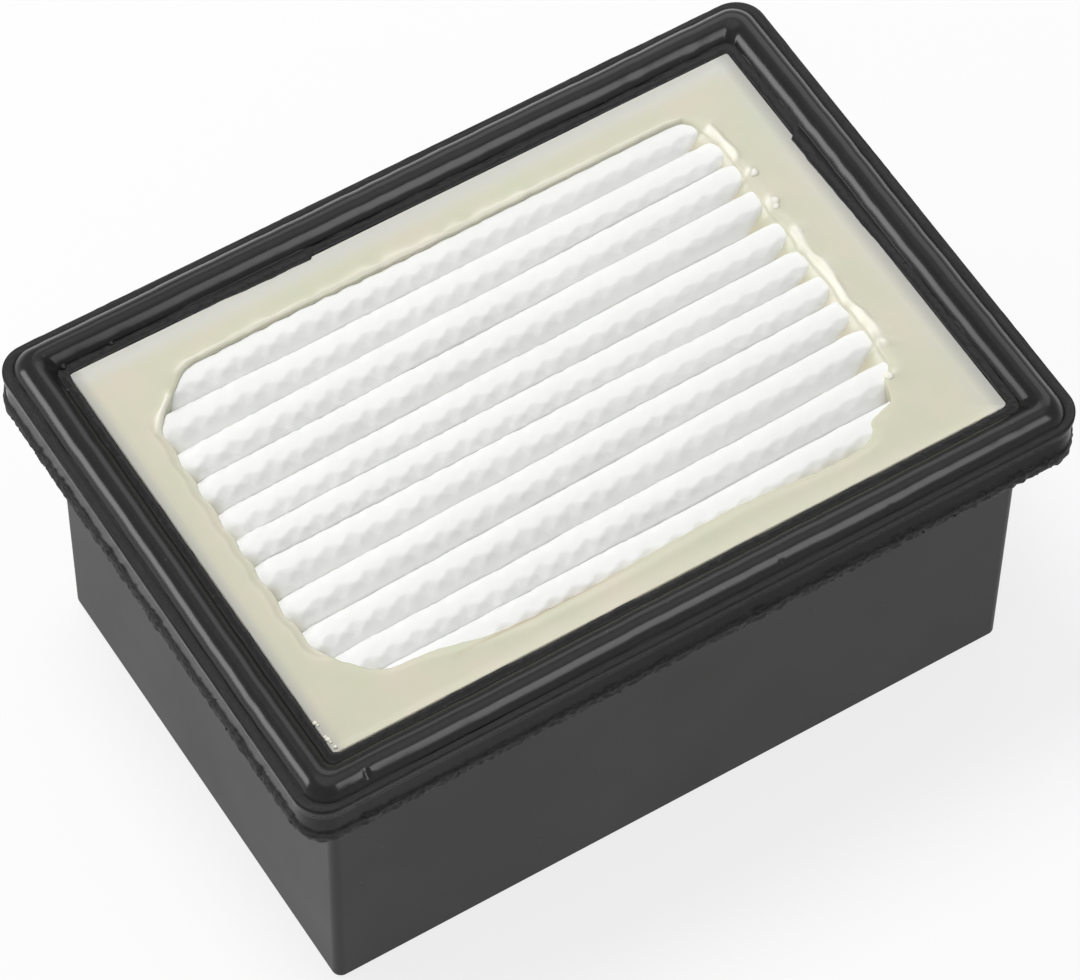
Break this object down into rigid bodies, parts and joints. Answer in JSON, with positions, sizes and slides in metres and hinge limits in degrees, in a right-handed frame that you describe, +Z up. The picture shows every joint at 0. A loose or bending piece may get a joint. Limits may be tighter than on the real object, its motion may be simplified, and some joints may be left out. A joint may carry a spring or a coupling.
{
  "type": "dust extractor filter",
  "caption": "Rectangular pleated filter cassette for a dust extractor: white folded media set in cream resin in a black plastic box with a cast black rim seal.",
  "frame": {"origin": "centre of the foot, on the plane that the box stands on", "axes": "+X along the long side and the pleats, +Y across the pleats, +Z up towards the sealing bead"},
  "size_m": [0.09, 0.0632, 0.0429],
  "materials": {
    "housing_plastic": "satin",
    "seal_rubber": "glossy",
    "potting_resin": "glossy",
    "filter_media": "matte"
  },
  "bodies": {
    "root": {"housing": "housing_plastic", "rim_seal": "seal_rubber", "potting": "potting_resin", "pleat_pack": "filter_media"}
  },
  "joints": []
}
